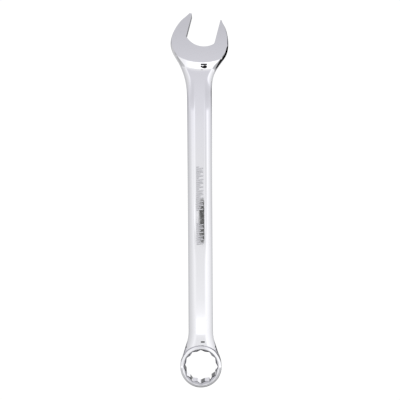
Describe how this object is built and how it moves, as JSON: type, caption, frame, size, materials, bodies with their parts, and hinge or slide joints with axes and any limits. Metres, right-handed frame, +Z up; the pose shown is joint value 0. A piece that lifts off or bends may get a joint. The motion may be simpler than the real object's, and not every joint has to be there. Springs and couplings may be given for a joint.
{
  "type": "combination wrench",
  "caption": "Flat chrome-plated combination wrench: a slanted open end and a 12-point ring end joined by a panelled shank.",
  "frame": {"origin": "under the middle of the wrench, centred on its box, on the surface that the ring end lies on", "axes": "+Y along the shank from the ring end to the open end, +X to the right seen from above, +Z up through the flat of the wrench"},
  "size_m": [0.0383, 0.2468, 0.0115],
  "materials": {
    "chrome_plate": "polished chrome plate over drop-forged steel, with fine handling scratches"
  },
  "bodies": {
    "root": {"ring_head": "chrome_plate", "ring_neck": "chrome_plate", "shank": "chrome_plate", "open_end_neck": "chrome_plate", "open_end_throat": "chrome_plate", "long_jaw": "chrome_plate", "short_jaw": "chrome_plate"}
  },
  "joints": []
}
